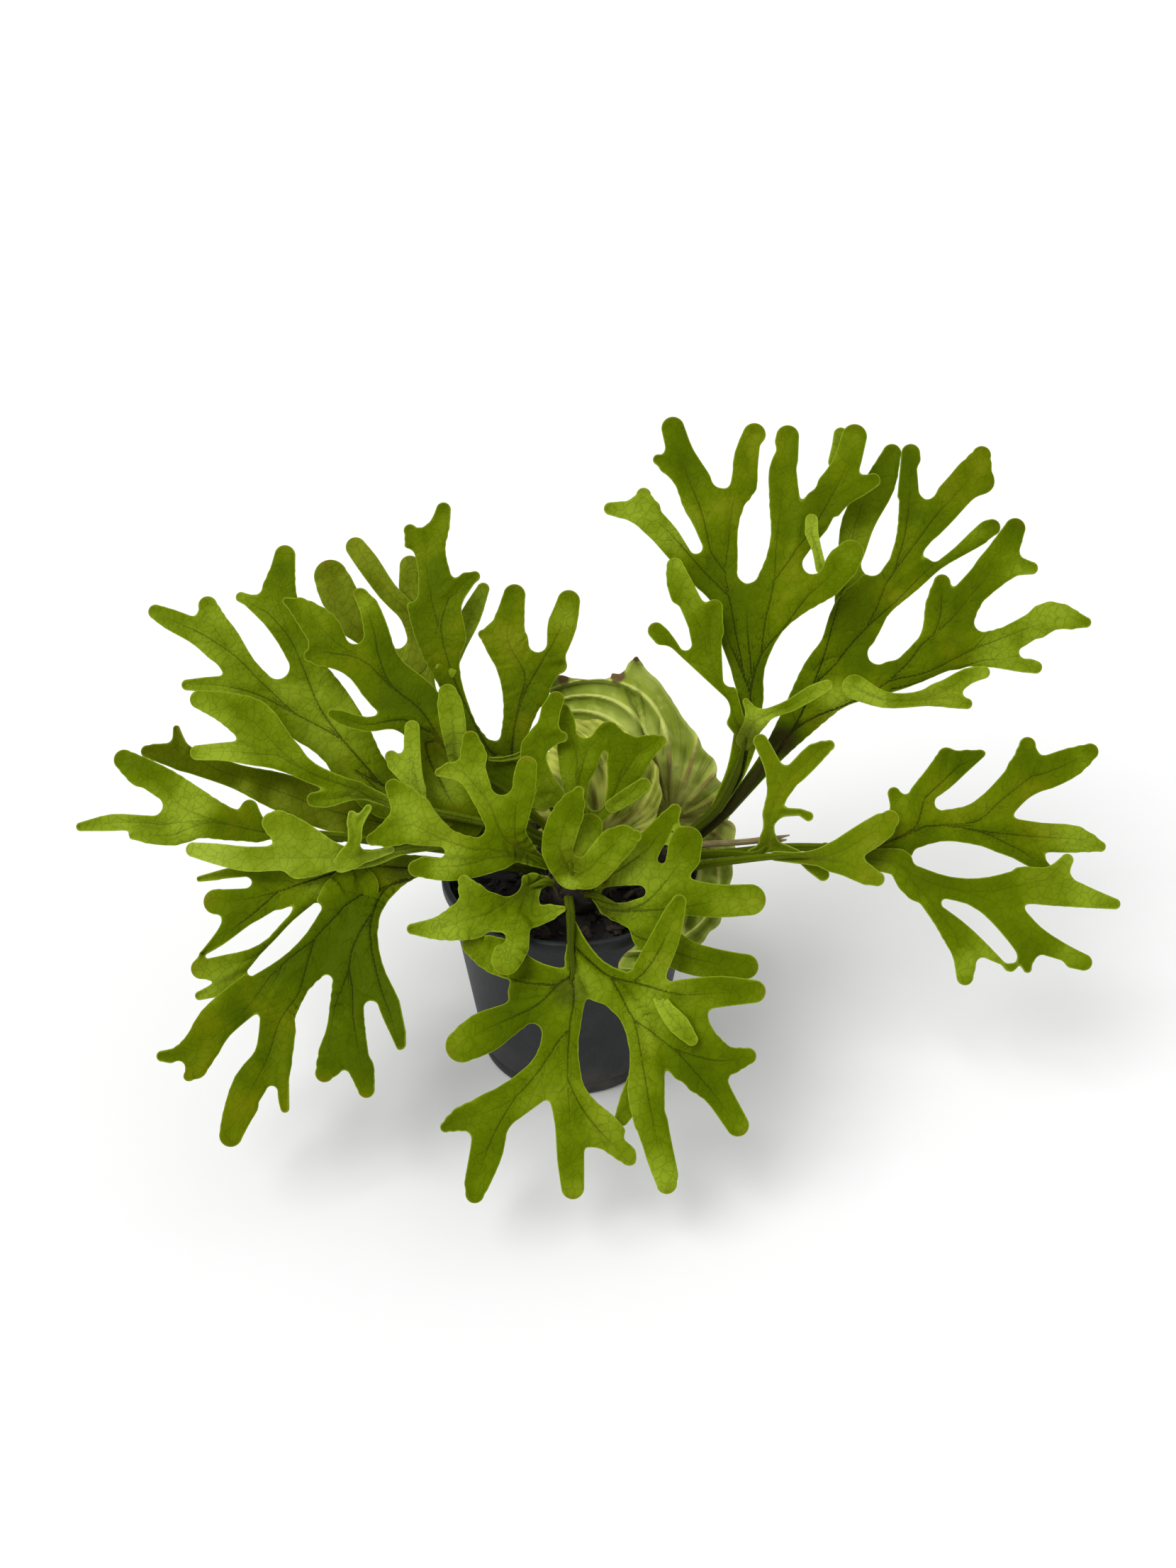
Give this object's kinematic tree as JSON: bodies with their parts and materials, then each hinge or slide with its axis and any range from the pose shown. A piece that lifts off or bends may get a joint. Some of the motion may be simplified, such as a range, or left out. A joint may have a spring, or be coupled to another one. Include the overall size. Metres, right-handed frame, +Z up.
{
  "type": "potted staghorn fern",
  "caption": "Staghorn fern in a small round plastic pot: forked antler-shaped fronds spread all round from two crowns, over ribbed shield fronds.",
  "frame": {"origin": "centre of the pot's flat foot, on the surface it stands on", "axes": "+Z up, out of the pot; +X to the right as the plant faces the eye, along its longest spread; -Y towards the eye, where the front frond hangs down"},
  "size_m": [0.4815, 0.2838, 0.285],
  "materials": {
    "pot": "matte dark grey",
    "bark": "rough damp bark mix",
    "crown": "rough fibrous rhizome",
    "blade": "leathery leaf, satin",
    "blade_light": "young leathery leaf, satin",
    "blade_dark": "shaded leathery leaf, satin",
    "shield": "ribbed papery leaf, matte",
    "dead_stalk": "dry stalk"
  },
  "bodies": {
    "root": {"pot": "pot", "bark_mix": "bark", "crown_main": "crown", "crown_side": "crown", "frond_front": "blade", "frond_front_right": "blade", "frond_centre": "blade", "frond_front_left": "blade", "frond_centre_left": "blade", "frond_back_centre": "blade", "frond_back_tall": "blade", "frond_back_olive": "blade_dark", "frond_left_mid": "blade", "frond_left_upper": "blade", "frond_left_upper_front": "blade", "frond_left_dark": "blade_dark", "frond_left_far": "blade", "frond_left_light": "blade_light", "frond_left_low": "blade", "frond_right_upper": "blade", "frond_right_tall": "blade", "frond_right_low": "blade", "frond_right_small": "blade_light", "frond_right_upright": "blade_light", "shield_back": "shield", "shield_dome": "shield", "shield_rim": "shield", "dead_stalk": "dead_stalk"}
  },
  "joints": []
}
